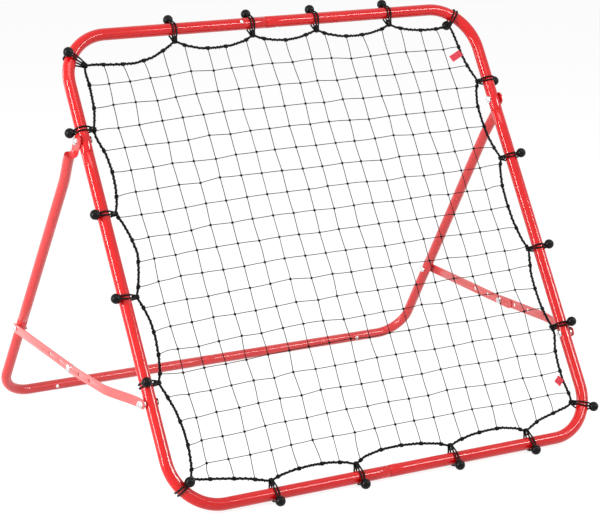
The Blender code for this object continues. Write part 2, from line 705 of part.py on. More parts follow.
def rope_crossing(axis, value, sign):
    """Where the rope crosses this line of the frame's plane, on the side that the sign gives."""
    other = 2 - axis
    found = []
    for p, q in zip(rope_points, rope_points[1:] + rope_points[:1]):
        if (p[axis] - value) * (q[axis] - value) <= 0 and p[axis] != q[axis]:
            found.append(p[other] + (q[other] - p[other]) * (value - p[axis]) / (q[axis] - p[axis]))
    return sign * max(sign * place for place in found) - sign * NET_INSET


def build_net(bm):
    bmesh.ops.create_grid(bm, x_segments=NET_CELLS, y_segments=NET_CELLS, size=NET_CELLS / 2)
    edge = NET_CELLS // 2
    corners = {}
    for tie in ties:
        if tie.corner:
            place = rope_place(tie) + tie.inward * NET_CORNER_INSET
            corners[(place.x > 0, place.z > HALF)] = place
    for vert in bm.verts:
        column, row = round(vert.co.x), round(vert.co.y)
        u, v = column * NET_PITCH, HALF + row * NET_PITCH
        if abs(column) == edge and abs(row) == edge:
            vert.co = corners[(column > 0, row > 0)]
        elif abs(column) == edge:
            vert.co = on_frame(rope_crossing(2, v, column / edge), v)
        elif abs(row) == edge:
            vert.co = on_frame(u, rope_crossing(0, u, row / edge))
        else:
            vert.co = on_frame(u, v)


net = add("net", mesh_from(build_net, smooth=False), cord_black, frame_axis)
wires = net.modifiers.new("twine", "WIREFRAME")
wires.thickness = TWINE
wires.use_even_offset = False
wires.use_boundary = True
wires.use_replace = True

# Ribbon tags lie on the front of the rope
for name, ((u, v), (wide, tall), turn) in TAGS.items():
    def build_tag(bm, size=(wide * MM, TAG_THICK, tall * MM)):
        bmesh.ops.create_cube(bm, size=1)
        bmesh.ops.scale(bm, vec=size, verts=bm.verts)

    place = on_frame(u * MM, v * MM, ROPE_R + GAP + TAG_THICK / 2)
    matrix = Matrix.Translation(place) @ Matrix.Rotation(-math.radians(turn), 4, "Y")
    add(name, mesh_from(build_tag, smooth=False), tag_red, frame_axis, matrix)
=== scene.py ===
"""The looks of the folding rebounder net: smooth tubes and bars, a knotted net, a laid rope, doubled
elastic ties with balls, and the finish of each surface. Metres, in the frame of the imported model."""

import math
import random
from collections import namedtuple
from itertools import groupby

import bmesh
import bpy
import numpy as np
from mathutils import Matrix, Vector


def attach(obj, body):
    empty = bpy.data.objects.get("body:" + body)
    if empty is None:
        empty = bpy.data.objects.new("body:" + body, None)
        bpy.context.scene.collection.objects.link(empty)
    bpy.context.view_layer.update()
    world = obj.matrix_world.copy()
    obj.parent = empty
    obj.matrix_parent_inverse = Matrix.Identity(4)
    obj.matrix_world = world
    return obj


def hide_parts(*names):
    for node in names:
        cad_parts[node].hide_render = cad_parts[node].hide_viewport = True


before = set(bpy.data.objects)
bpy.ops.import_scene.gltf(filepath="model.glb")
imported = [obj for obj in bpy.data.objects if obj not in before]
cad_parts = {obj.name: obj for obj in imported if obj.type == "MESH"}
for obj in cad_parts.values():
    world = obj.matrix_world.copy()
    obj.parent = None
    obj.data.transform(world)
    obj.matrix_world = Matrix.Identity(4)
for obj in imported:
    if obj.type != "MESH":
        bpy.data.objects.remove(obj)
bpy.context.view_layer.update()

MM = 0.001

# Front frame, as in the solids: u across, v up the frame, n out of its front
TUBE_R = 12.5 * MM
TUBE_WALL = 1.2 * MM
BEND_R = 100 * MM
LEAN = math.radians(33)
HALF = 487.5 * MM
SIDE = 2 * HALF
TUBE_AXIS_Z = 15.9 * MM
FRONT_Y = -389 * MM
GAP = 0.3 * MM

# Rear stand
STAND_R = 11 * MM
STAND_BEND_R = 65 * MM
PIVOT_V = 755 * MM
STAND_BAR_Y = 800 * MM
STAND_BAR_Z = STAND_R * math.cos(math.pi / 12)
LEG_X_PIVOT = 505 * MM
LEG_X_GROUND = 517 * MM
LEG_X_TUBE_END = 511.2 * MM
TUBE_END_DROP = 36 * MM
LEG_SET_DROP = 115 * MM
TAB_THICK = 3 * MM
TAB_R = 14 * MM
STRUT_FRAME_V = 216.5 * MM
STRUT_STAND_FRACTION = 0.285

# Struts
BAR_WIDTH = 20 * MM
BAR_THICK = 2.5 * MM
RIM_BEVEL = 0.45 * MM
HOLE_PITCH = 50 * MM
REAR_BAR_REACH = 42 * MM
FRONT_BAR_REACH = 14 * MM
FRONT_BAR_STANDOFF = 4 * MM
SLANT_START = 14 * MM
SLANT_END = 124 * MM
KNEE_FRACTION = 0.4965
KNEE_SAG = 7 * MM
BOLT_R = 4 * MM
NUT_R = 7.5 * MM
NUT_THICK = 6.5 * MM
THIN_NUT = 4.5 * MM
SCREW_R = 2 * MM
HEAD_R = 8 * MM
END_PROUD = 2.5 * MM

# Tube joints
SIDE_SEAM_V = 728 * MM
TOP_SEAM_X = -20 * MM
BOTTOM_SEAM_X = -23 * MM
LEG_SEAM_ABOVE_STRUT = 26 * MM
SPIGOT = 50 * MM
TOP_SPIGOT = 80 * MM
SPIGOT_CLEAR = 1.65 * MM

# Net, rope and ties
CORD_R = 1.75 * MM
CORD_STEP = 1.6 * MM
BALL_R = 10.3 * MM
BALL_REACH = 24.2 * MM
ROPE_R = 3.2 * MM
ROPE_INSET = 25.5 * MM
ROPE_STEP = 2.0 * MM
STRAND_R = 1.35 * MM
STRAND_LAY_R = 1.3 * MM
LAY = 15 * MM
LASHING_R = 0.95 * MM
BARE_BY_TIE = 14 * MM
TOP_TIES = ((-236, -14), (-55, -14), (99, -14), (280, -14))
BOTTOM_TIES = ((-281, 41), (-89, 41), (134, 41), (322, 41))
LEFT_TIES = ((776, -20), (598, 27), (426, 25), (252, 70))
RIGHT_TIES = ((800, -21), (620, 50), (410, 40), (234, 60))
CORNER_TIES = {
    "top_left": (148, 57, 31 * MM),
    "top_right": (54, -135, 27 * MM),
    "bottom_left": (215, 122, 29 * MM),
    "bottom_right": (334, 36, 26 * MM),
}
# How deep the rope hangs inwards on its way from each tie to the next, at these parts of the way
ROPE_PARTS = (0.1, 0.3, 0.5, 0.7, 0.9)
ROPE_DEPTHS = {
    "top_left": (3.7, 14.9, 23.5, 21.8, 9.6),
    "top_1": (11.5, 21.2, 22.5, 19.9, 11.0),
    "top_2": (9.1, 15.6, 17.9, 14.4, 5.8),
    "top_3": (10.6, 19.3, 21.0, 18.0, 9.8),
    "top_4": (7.8, 12.2, 12.6, 10.2, 4.5),
    "top_right": (-0.8, 2.4, 5.8, 6.9, 2.9),
    "right_1": (10.6, 19.9, 20.1, 17.6, 8.6),
    "right_2": (9.9, 18.4, 19.8, 17.6, 9.4),
    "right_3": (3.8, 12.5, 13.8, 12.4, 6.0),
    "right_4": (-1.9, 7.3, 9.2, 7.8, 0.5),
    "bottom_right": (-3.2, -0.3, 2.6, 5.1, 1.8),
    "bottom_1": (9.3, 17.0, 17.2, 14.6, 7.0),
    "bottom_2": (8.9, 16.9, 20.7, 19.9, 12.2),
    "bottom_3": (7.8, 13.9, 15.3, 13.2, 7.0),
    "bottom_4": (1.1, 3.3, 2.5, 1.0, -1.3),
    "bottom_left": (9.3, 16.9, 18.9, 15.7, 6.3),
    "left_1": (8.9, 15.1, 18.1, 16.6, 7.8),
    "left_2": (8.7, 18.8, 26.0, 20.6, 9.8),
    "left_3": (8.7, 15.4, 16.7, 12.6, 0.8),
    "left_4": (3.7, 7.4, 6.0, 4.0, -1.4),
}
TAGS = {
    "tag_upper": ((422, 861), (32, 15), 24),
    "tag_lower": ((436, 116), (18, 16), 38),
}
TWINES = 18
MESH_WIDE = 47.4 * MM
MESH_TALL = 46.4 * MM
NET_U, NET_V = -3 * MM, 485 * MM
ROW_SLOPE = 0.041
ROW_SLOPE_FROM = -150 * MM
TWINE_R = 0.8 * MM
KNOT_SIZE = 1.8 * MM

frame_matrix = Matrix.Translation((0, FRONT_Y, TUBE_AXIS_Z)) @ Matrix.Rotation(-LEAN, 4, "X")


def on_frame(u, v, n=0.0):
    return Vector((u, -n, v))


pivot = frame_matrix @ on_frame(0, PIVOT_V)
bar_centre = Vector((0, FRONT_Y + STAND_BAR_Y, STAND_BAR_Z))
LEG = (bar_centre - pivot).length
LEG_ANGLE = math.atan2(bar_centre.y - pivot.y, pivot.z - bar_centre.z)
stand_matrix = Matrix.Translation(pivot) @ Matrix.Rotation(LEG_ANGLE, 4, "X")
STRUT_DROP = LEG * (1 - STRUT_STAND_FRACTION)
LEG_SEAM_DROP = STRUT_DROP - LEG_SEAM_ABOVE_STRUT
strut_frame = frame_matrix @ on_frame(0, STRUT_FRAME_V)
strut_stand = stand_matrix @ Vector((0, 0, -STRUT_DROP))
knee = strut_stand.lerp(strut_frame, KNEE_FRACTION) - Vector((0, 0, KNEE_SAG))


def leg_x(drop):
    return LEG_X_PIVOT + (LEG_X_GROUND - LEG_X_PIVOT) * drop / LEG


REAR_BAR_X = leg_x(STRUT_DROP) + STAND_R + GAP
FRONT_BAR_X = REAR_BAR_X + BAR_THICK + GAP
FRONT_BAR_END_X = HALF + TUBE_R + GAP + FRONT_BAR_STANDOFF + GAP


def ease(x):
    """A smooth step from 0 to 1."""
    x = min(1.0, max(0.0, x))
    return x * x * (3 - 2 * x)


# Materials: every one is procedural, with its detail at real scale
class Nodes:
    """A material's node tree, with short calls that add and link nodes."""

    def __init__(self, name):
        self.material = bpy.data.materials.new(name)
        self.material.use_nodes = True
        self.tree = self.material.node_tree
        self.shader = self.tree.nodes["Principled BSDF"]

    def add(self, kind, settings=(), **inputs):
        node = self.tree.nodes.new(kind)
        for name, value in dict(settings).items():
            setattr(node, name, value)
        for name, value in inputs.items():
            self.set(node, name.replace("_", " "), value)
        return node

    def set(self, node, name, value):
        socket = node.inputs[int(name)] if name.isdigit() else node.inputs[name]
        if isinstance(value, bpy.types.NodeSocket):
            self.tree.links.new(value, socket)
        else:
            socket.default_value = value

    def shade(self, **inputs):
        for name, value in inputs.items():
            self.set(self.shader, name.replace("_", " "), value)

    def noise(self, vector, scale, detail=2.0, roughness=0.5):
        node = self.add("ShaderNodeTexNoise", Vector=vector, Scale=scale, Detail=detail, Roughness=roughness)
        return node.outputs["Fac"]

    def between(self, factor, low, high):
        """Maps a 0 to 1 value onto this range."""
        node = self.add("ShaderNodeMapRange", Value=factor, To_Min=low, To_Max=high)
        return node.outputs["Result"]

    def ramp(self, factor, stops):
        node = self.add("ShaderNodeValToRGB", Fac=factor)
        ends = node.color_ramp.elements
        while len(ends) < len(stops):
            ends.new(0.5)
        for end, (place, colour) in zip(ends, stops):
            end.position = place
            end.color = (*colour, 1)
        return node.outputs["Color"]

    def maths(self, operation, first, second=0.0):
        node = self.add("ShaderNodeMath", {"operation": operation})
        self.set(node, "0", first)
        self.set(node, "1", second)
        return node.outputs["Value"]

    def bump(self, height, strength, distance, normal=None):
        node = self.add("ShaderNodeBump", Height=height, Strength=strength, Distance=distance)
        if normal:
            self.set(node, "Normal", normal)
        return node.outputs["Normal"]

    def places(self, kind="Object"):
        return self.add("ShaderNodeTexCoord").outputs[kind]


def powder_coat(name, dark, light, roughness, specular):
    """Glossy powder coat: a faint orange peel and slight changes of shade."""
    nodes = Nodes(name)
    places = nodes.places()
    shade = nodes.noise(places, 9.0, 3.0)
    peel = nodes.noise(places, 520.0, 2.0)
    coarse = nodes.noise(places, 130.0, 2.0)
    rough = nodes.between(nodes.noise(places, 60.0, 4.0), roughness - 0.04, roughness + 0.05)
    normal = nodes.bump(coarse, 0.02, 0.1 * MM)
    normal = nodes.bump(peel, 0.03, 0.05 * MM, normal)
    nodes.shade(
        Base_Color=nodes.ramp(shade, [(0.3, dark), (0.7, light)]),
        Roughness=rough,
        Normal=normal,
        Coat_Weight=0.6,
        Coat_Roughness=0.05,
        Specular_IOR_Level=specular,
    )
    return nodes.material


def zinc_plate():
    nodes = Nodes("zinc_plate")
    places = nodes.places()
    grain = nodes.noise(places, 900.0, 3.0)
    cloud = nodes.noise(places, 150.0, 3.0)
    nodes.shade(
        Base_Color=nodes.ramp(cloud, [(0.3, (0.66, 0.67, 0.68)), (0.7, (0.86, 0.86, 0.85))]),
        Metallic=1.0,
        Roughness=nodes.between(cloud, 0.16, 0.34),
        Normal=nodes.bump(grain, 0.1, 0.05 * MM),
    )
    return nodes.material


def braid(name, dark, light, along, around, roughness):
    """A braided or laid cover, from the cord's own texture places: along its length and round it."""
    nodes = Nodes(name)
    split = nodes.add("ShaderNodeSeparateXYZ", Vector=nodes.places("UV"))
    length = nodes.maths("MULTIPLY", split.outputs["X"], along)
    turn = nodes.maths("MULTIPLY", split.outputs["Y"], around)
    first = nodes.maths("SINE", nodes.maths("MULTIPLY", nodes.maths("ADD", length, turn), math.tau))
    second = nodes.maths("SINE", nodes.maths("MULTIPLY", nodes.maths("SUBTRACT", length, turn), math.tau))
    weave = nodes.between(nodes.maths("MULTIPLY", first, second), 0.0, 1.0)
    fuzz = nodes.noise(nodes.places(), 2600.0, 2.0)
    normal = nodes.bump(weave, 0.55, 0.25 * MM)
    normal = nodes.bump(fuzz, 0.3, 0.1 * MM, normal)
    mixed = nodes.maths("MULTIPLY", weave, fuzz)
    nodes.shade(
        Base_Color=nodes.ramp(mixed, [(0.1, dark), (0.75, light)]),
        Roughness=roughness,
        Normal=normal,
        Specular_IOR_Level=0.15,
    )
    return nodes.material


def ball_plastic():
    nodes = Nodes("ball_plastic")
    places = nodes.places()
    grain = nodes.noise(places, 700.0, 3.0)
    cloud = nodes.noise(places, 120.0, 2.0)
    nodes.shade(
        Base_Color=nodes.ramp(cloud, [(0.3, (0.001, 0.001, 0.001)), (0.7, (0.004, 0.004, 0.004))]),
        Roughness=nodes.between(cloud, 0.2, 0.3),
        Normal=nodes.bump(grain, 0.08, 0.06 * MM),
        Specular_IOR_Level=0.16,
    )
    return nodes.material


def ribbon_cloth():
    nodes = Nodes("ribbon_cloth")
    split = nodes.add("ShaderNodeSeparateXYZ", Vector=nodes.places("UV"))
    warp = nodes.maths("SINE", nodes.maths("MULTIPLY", split.outputs["X"], 46 * math.tau))
    weft = nodes.maths("SINE", nodes.maths("MULTIPLY", split.outputs["Y"], 20 * math.tau))
    weave = nodes.between(nodes.maths("MULTIPLY", warp, weft), 0.0, 1.0)
    shade = nodes.noise(nodes.places(), 300.0, 3.0)
    nodes.shade(
        Base_Color=nodes.ramp(shade, [(0.25, (0.75, 0.045, 0.07)), (0.75, (0.85, 0.07, 0.10))]),
        Roughness=0.6,
        Normal=nodes.bump(weave, 0.4, 0.12 * MM),
        Specular_IOR_Level=0.3,
    )
    return nodes.material


frame_red = powder_coat("frame_red", (0.76, 0.004, 0.006), (0.82, 0.008, 0.010), 0.16, 0.15)
# The stand's coat is the frame's red made paler: painted sheen, for the brighter light and reflection the
# stand catches from the left
stand_red_painted_sheen = powder_coat("stand_red_painted_sheen", (0.75, 0.028, 0.030), (0.81, 0.038, 0.040), 0.26, 0.35)
# The bars' coat is the frame's red made paler and pinker: painted sheen, for the washed-out reflection on
# their flat faces
bar_red = powder_coat("bar_red", (0.75, 0.083, 0.083), (0.79, 0.113, 0.110), 0.3, 0.6)
zinc = zinc_plate()
elastic = braid("elastic_cover", (0.002, 0.002, 0.002), (0.016, 0.016, 0.017), 3.0, 3.0, 0.5)
rope_fibre = braid("rope_fibre", (0.002, 0.002, 0.002), (0.014, 0.014, 0.015), 0.7, 4.0, 0.62)
twine_fibre = braid("twine_fibre", (0.002, 0.002, 0.002), (0.012, 0.012, 0.013), 1.2, 2.0, 0.6)
ball_black = ball_plastic()
ribbon = ribbon_cloth()


# Shapes: rings of points along a path, joined into one mesh
def path_frames(path, closed=False):
    """The points, tangents and a steady pair of side directions along a path."""
    points = np.array([tuple(p) for p in path], float)
    if closed:
        tangents = np.roll(points, -1, 0) - np.roll(points, 1, 0)
    else:
        tangents = np.gradient(points, axis=0)
    tangents /= np.linalg.norm(tangents, axis=1)[:, None]
    normals = np.zeros_like(points)
    last = np.eye(3)[np.argmin(np.abs(tangents[0]))]
    for i, tangent in enumerate(tangents):
        last = last - tangent * last.dot(tangent)
        last /= np.linalg.norm(last)
        normals[i] = last
    if closed:
        # The frame comes back turned, so the turn is spread over the loop
        back = normals[-1] - tangents[0] * normals[-1].dot(tangents[0])
        back /= np.linalg.norm(back)
        turn = math.atan2(np.cross(back, normals[0]).dot(tangents[0]), back.dot(normals[0]))
        spins = turn * np.arange(len(points)) / len(points)
        sides = np.cross(tangents, normals)
        normals = normals * np.cos(spins)[:, None] + sides * np.sin(spins)[:, None]
    return points, tangents, normals, np.cross(tangents, normals)


def circle(side, across, sides):
    """Directions all round, from the side direction by way of the other one."""
    angles = np.arange(sides) * math.tau / sides
    return side * np.cos(angles)[:, None] + across * np.sin(angles)[:, None]


class Shape:
    """Gathers the points, faces and texture places of one piece."""

    def __init__(self):
        self.points = []
        self.faces = []
        self.places = []
        self.count = 0

    def rings(self, rings, lengths, closed=False):
        """Joins rings of points. Texture places are the length along, in girths, and the turn."""
        rings = np.asarray(rings, float)
        number, sides = rings.shape[:2]
        base = self.count
        self.points.append(rings.reshape(-1, 3))
        self.count += number * sides
        for i in range(number if closed else number - 1):
            after = (i + 1) % number
            start, end = lengths[i], lengths[i + 1]
            for k in range(sides):
                on = (k + 1) % sides
                quad = (i * sides + k, i * sides + on, after * sides + on, after * sides + k)
                self.faces.append([base + corner for corner in quad])
                turn, next_turn = k / sides, (k + 1) / sides
                self.places += [(start, turn), (start, next_turn), (end, next_turn), (end, turn)]
        if not closed:
            self.cap(base, sides, reverse=True)
            self.cap(base + (number - 1) * sides, sides)

    def cap(self, first, sides, reverse=False):
        corners = list(range(first, first + sides))
        self.faces.append(corners[::-1] if reverse else corners)
        self.places += [(0.0, 0.0)] * sides

    def tube(self, path, radii, sides, closed=False):
        """A tube along the path. Radii is one number or one for each point."""
        points, tangents, normals, across = path_frames(path, closed)
        radii = np.broadcast_to(np.asarray(radii, float), len(points))
        rings = points[:, None] + circle(normals[:, None], across[:, None], sides) * radii[:, None, None]
        steps = np.linalg.norm(np.diff(points, axis=0, append=points[:1]), axis=1)
        lengths = np.concatenate([[0], np.cumsum(steps)]) / (math.tau * radii.mean())
        self.rings(rings, lengths, closed)

    def cord(self, path, radius, sides):
        """A cord with rounded ends."""
        path = [np.array(tuple(p), float) for p in path]
        radii = [radius] * len(path)
        for end, beyond in ((0, 1), (-1, -2)):
            way = path[end] - path[beyond]
            way = way / np.linalg.norm(way)
            extra = [(path[end] + way * radius * math.sin(a), radius * math.cos(a)) for a in (0.5, 1.0, 1.4)]
            if end == 0:
                path = [p for p, _ in extra[::-1]] + path
                radii = [r for _, r in extra[::-1]] + radii
            else:
                path = path + [p for p, _ in extra]
                radii = radii + [r for _, r in extra]
        self.tube(path, radii, sides)

    def hollow_tube(self, path, radius, sides=40):
        """A tube with softly rounded rims: its outside runs along the path, and its bore runs back."""
        points, tangents, normals, across = path_frames(path)
        rim = [(0.0, radius - 0.9 * MM), (0.3 * MM, radius - 0.35 * MM), (1.0 * MM, radius)]
        stations = [(points[0] + tangents[0] * at, r, 0) for at, r in rim]
        stations += [(points[i], radius, i) for i in range(1, len(points) - 1)]
        stations += [(points[-1] - tangents[-1] * at, r, -1) for at, r in rim[::-1]]
        stations += [(points[i], radius - TUBE_WALL, i) for i in range(len(points) - 1, -1, -1)]
        rings = [place + r * circle(normals[i], across[i], sides) for place, r, i in stations]
        self.rings(rings, list(range(len(rings) + 1)), closed=True)

    def turned(self, profile, origin, axis, sides=32):
        """A profile of (radius, height) points turned about an axis. It starts and ends on the axis."""
        axis = np.array(tuple(axis), float)
        axis /= np.linalg.norm(axis)
        side = np.eye(3)[np.argmin(np.abs(axis))]
        side = side - axis * side.dot(axis)
        side /= np.linalg.norm(side)
        ring = circle(side, np.cross(axis, side), sides)
        origin = np.array(tuple(origin), float)
        rings = [origin + axis * height + ring * max(radius, 0.01 * MM) for radius, height in profile]
        self.rings(rings, [i / 4 for i in range(len(profile) + 1)])

    def piece(self, name, material, body, nodes, slot, matrix=None, crease=38):
        """The finished piece: it rides on its body and stands for its nodes."""
        mesh = bpy.data.meshes.new(name)
        mesh.from_pydata(np.concatenate(self.points).tolist(), [], self.faces)
        layer = mesh.uv_layers.new(name="places")
        layer.data.foreach_set("uv", np.array(self.places, np.float32).ravel())
        if matrix is not None:
            mesh.transform(matrix)
        return dressed(name, mesh, material, body, nodes, crease)


def linked(name, data):
    """A new object of this data, in the scene."""
    obj = bpy.data.objects.new(name, data)
    bpy.context.scene.collection.objects.link(obj)
    return obj


def dressed(name, mesh, material, body, nodes, crease=38):
    """An object of this mesh: outward faces, smooth shading, its material, body and nodes."""
    bm = bmesh.new()
    bm.from_mesh(mesh)
    bmesh.ops.recalc_face_normals(bm, faces=bm.faces)
    bm.to_mesh(mesh)
    bm.free()
    mesh.shade_smooth()
    mesh.set_sharp_from_angle(angle=math.radians(crease))
    mesh.materials.append(material)
    obj = linked(name, mesh)
    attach(obj, body)
    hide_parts(*nodes)
    return obj


def bent(corners, radius, steps=22):
    """The points of a path through the corners, with an arc of this radius at each inner one."""
    points = [corners[0]]
    for before, corner, after in zip(corners, corners[1:], corners[2:]):
        back = (before - corner).normalized()
        on = (after - corner).normalized()
        half = back.angle(on) / 2
        centre = corner + (back + on).normalized() * (radius / math.sin(half))
        first = corner + back * (radius / math.tan(half))
        axis = back.cross(on).normalized()
        for step in range(steps + 1):
            spin = Matrix.Rotation((2 * half - math.pi) * step / steps, 3, axis)
            points.append(centre + spin @ (first - centre))
    points.append(corners[-1])
    # Straight runs are divided, so that their shade is even
    fine = [points[0]]
    for start, end in zip(points, points[1:]):
        runs = max(1, round((end - start).length / (40 * MM)))
        fine += [start.lerp(end, run / runs) for run in range(1, runs + 1)]
    return fine


# Front frame tubes, with the spigots that slip into their neighbours
def red_tubes(name, body, matrix, runs):
    """One node's tubes. Each run is a path and a radius."""
    shape = Shape()
    for path, radius in runs:
        shape.hollow_tube(path, radius)
    look = stand_red_painted_sheen if body == "rear_stand" else frame_red
    shape.piece(name + "_tube", look, body, [name], "red_powder_coat", matrix)


def straight(start, end):
    return bent([start, end], 0)


spigot_r = TUBE_R - SPIGOT_CLEAR
for side, word in ((-1, "left"), (1, "right")):
    top_x = TOP_SEAM_X if side > 0 else TOP_SEAM_X - GAP
    low_x = BOTTOM_SEAM_X if side > 0 else BOTTOM_SEAM_X - GAP
    seam = on_frame(side * HALF, SIDE_SEAM_V)
    upper = [on_frame(side * HALF, SIDE_SEAM_V + GAP), on_frame(side * HALF, SIDE), on_frame(top_x, SIDE)]
    lower = [on_frame(low_x, 0), on_frame(side * HALF, 0), seam]
    upper_runs = [(bent(upper, BEND_R), TUBE_R)]
    lower_runs = [(bent(lower, BEND_R), TUBE_R)]
    lower_runs.append((straight(seam - on_frame(0, SPIGOT), seam + on_frame(0, SPIGOT)), spigot_r))
    if side > 0:
        start, end = on_frame(TOP_SEAM_X + SPIGOT, SIDE), on_frame(TOP_SEAM_X - TOP_SPIGOT, SIDE)
        upper_runs.append((straight(start, end), spigot_r))
    else:
        start, end = on_frame(BOTTOM_SEAM_X - SPIGOT, 0), on_frame(BOTTOM_SEAM_X + SPIGOT, 0)
        lower_runs.append((straight(start, end), spigot_r))
    red_tubes("frame_upper_" + word, "front_frame", frame_matrix, upper_runs)
    red_tubes("frame_lower_" + word, "front_frame", frame_matrix, lower_runs)


# Rear stand: base tubes, and legs whose tops are flattened into drilled tabs
def stand_point(side, drop):
    return Vector((side * leg_x(drop), 0, -drop))


def leg_shape(side):
    """A leg from its open lower end to the round tip of its tab."""
    tab_x = HALF + TUBE_R + GAP + TAB_THICK / 2
    sides = 48
    angles = (np.arange(sides) + 0.5) * math.tau / sides
    stations = []
    low = LEG_SEAM_DROP - GAP
    for drop, inset in ((low, 0.9 * MM), (low - 0.3 * MM, 0.35 * MM), (low - 1.0 * MM, 0.0)):
        stations.append((-drop, leg_x(drop), STAND_R - inset, STAND_R - inset, 1.0, 0))
    for step in range(1, 9):
        drop = low + (LEG_SET_DROP - low) * step / 8
        stations.append((-drop, leg_x(drop), STAND_R, STAND_R, 1.0, 0))
    for step in range(1, 13):
        # The set: the tube leans in towards the frame before it flattens
        part = step / 12
        drop = LEG_SET_DROP + (TUBE_END_DROP - LEG_SET_DROP) * part
        centre = leg_x(LEG_SET_DROP) + (LEG_X_TUBE_END - leg_x(LEG_SET_DROP)) * ease(part)
        stations.append((-drop, centre, STAND_R, STAND_R, 1.0, 0))
    # The tube's outer half is pressed in against its inner half, which leaves a hollow under the rim
    for above, out, thick, wide, power, dip in (
        (0.3, 9.2, 10.4, 10.6, 1.0, 0.4),
        (0.7, 7.9, 8.7, 10.2, 0.95, 2.2),
        (1.4, 5.0, 5.8, 10.2, 0.85, 4.0),
        (2.6, 2.4, 3.4, 10.9, 0.6, 3.6),
        (4.4, 0.8, 2.0, 12.0, 0.42, 2.0),
        (7.0, 0.1, 1.6, 13.2, 0.3, 0.7),
        (10.5, 0.0, 1.5, 14.0, 0.25, 0.0),
        (16.0, 0.0, 1.5, 14.0, 0.25, 0.0),
    ):
        height = -TUBE_END_DROP + above * MM
        stations.append((height, tab_x + out * MM, thick * MM, wide * MM, power, dip * MM))
    for step in range(1, 15):
        height = -TAB_R + 2 * TAB_R * step / 15
        if height > 0:
            height = TAB_R * math.sin(min(1.0, height / TAB_R) * math.pi / 2)
        wide = TAB_R if height <= 0 else math.sqrt(max(TAB_R**2 - height**2, (0.5 * MM) ** 2))
        stations.append((height, tab_x, TAB_THICK / 2, wide, 0.25, 0))
    rings = []
    for height, centre, thick, wide, power, dip in stations:
        bulge = np.sign(np.cos(angles)) * np.abs(np.cos(angles)) ** power
        swell = np.sign(np.sin(angles)) * np.abs(np.sin(angles)) ** (1 if power == 1 else power * 0.5 + 0.5)
        ring = np.stack([side * (centre + thick * bulge), wide * swell, height - dip * (1 + bulge) / 2], 1)
        rings.append(ring)
    shape = Shape()
    shape.rings(rings, list(range(len(rings) + 1)))
    return shape


for side, word in ((-1, "left"), (1, "right")):
    name = "stand_leg_" + word
    leg_shape(side).piece(
        name + "_tube", stand_red_painted_sheen, "rear_stand", [name], "red_powder_coat", stand_matrix, crease=50
    )
    seam_x = BOTTOM_SEAM_X + (GAP if side > 0 else 0)
    leg_seam = stand_point(side, LEG_SEAM_DROP)
    path = bent([Vector((seam_x, 0, -LEG)), Vector((side * LEG_X_GROUND, 0, -LEG)), leg_seam], STAND_BEND_R)
    along = (leg_seam - stand_point(side, LEG_SEAM_DROP + SPIGOT)).normalized()
    runs = [(path, STAND_R)]
    runs.append((straight(leg_seam - along * SPIGOT, leg_seam + along * SPIGOT), STAND_R - SPIGOT_CLEAR))
    if side < 0:
        start = Vector((BOTTOM_SEAM_X - SPIGOT, 0, -LEG))
        runs.append((straight(start, start + Vector((2 * SPIGOT, 0, 0))), STAND_R - SPIGOT_CLEAR))
    red_tubes("stand_base_" + word, "rear_stand", stand_matrix, runs)


# Strut bars: flat steel with round ends and rows of holes, edges rounded as after stamping and coating
def circle_points(x, y, radius, steps):
    turns = [math.tau * step / steps for step in range(steps)]
    return [(x + radius * math.cos(a), y + radius * math.sin(a)) for a in turns]


def flat_bar(name, side, plane_x, hinge, reach, holes, body, slant=0.0):
    """A flat bar. Its slant is how far its hinge end lies inwards of its knee end."""
    span = knee - hinge
    length = span.length + reach
    half = BAR_WIDTH / 2
    outline = []
    for centre, start in ((0, math.pi / 2), (length - half, -math.pi / 2)):
        for step in range(25):
            angle = start + math.pi * step / 24
            outline.append((centre + half * math.cos(angle), half * math.sin(angle)))
    curve = bpy.data.curves.new("outline", "CURVE")
    curve.dimensions = "2D"
    curve.fill_mode = "BOTH"
    curve.extrude = BAR_THICK / 2
    rings = [outline] + [circle_points(place, 0, BOLT_R, 24) for place in holes]
    for ring in rings:
        spline = curve.splines.new("POLY")
        spline.points.add(len(ring) - 1)
        for point, (x, y) in zip(spline.points, ring):
            point.co = (x, y, 0, 1)
        spline.use_cyclic_u = True
    carrier = linked("outline", curve)
    bpy.context.view_layer.update()
    graph = bpy.context.evaluated_depsgraph_get()
    mesh = bpy.data.meshes.new_from_object(carrier.evaluated_get(graph))
    bpy.data.objects.remove(carrier)
    mesh.transform(Matrix.Rotation(-math.pi / 2, 4, "Y"))
    bm = bmesh.new()
    bm.from_mesh(mesh)
    bmesh.ops.remove_doubles(bm, verts=bm.verts, dist=0.005 * MM)
    rims = [edge for edge in bm.edges if len(edge.link_faces) == 2 and edge.calc_face_angle(0) > 1.2]
    bmesh.ops.bevel(bm, geom=rims, offset=RIM_BEVEL, segments=2, profile=0.5, affect="EDGES")
    if slant:
        for step in range(11):
            height = SLANT_START + (SLANT_END - SLANT_START) * step / 10
            every = list(bm.verts) + list(bm.edges) + list(bm.faces)
            bmesh.ops.bisect_plane(bm, geom=every, dist=1e-6, plane_co=(0, 0, height), plane_no=(0, 0, 1))
        for vert in bm.verts:
            along = (SLANT_END - vert.co.z) / (SLANT_END - SLANT_START)
            vert.co.x -= side * slant * (0.5 * ease(along) + 0.5 * min(1.0, max(0.0, along)))
    # The cuts leave the faces in another order each run, so they are sorted
    bm.verts.index_update()
    faces = sorted([vert.index for vert in face.verts] for face in bm.faces)
    mesh.clear_geometry()
    mesh.from_pydata([vert.co for vert in bm.verts], [], faces)
    bm.free()
    turn = Matrix.Rotation(math.atan2(-span.y, span.z), 4, "X")
    mesh.transform(Matrix.Translation((side * (plane_x + BAR_THICK / 2), hinge.y, hinge.z)) @ turn)
    dressed(name + "_steel", mesh, bar_red, body, [name], crease=28)


# Fasteners
DOME = 3.5 * MM


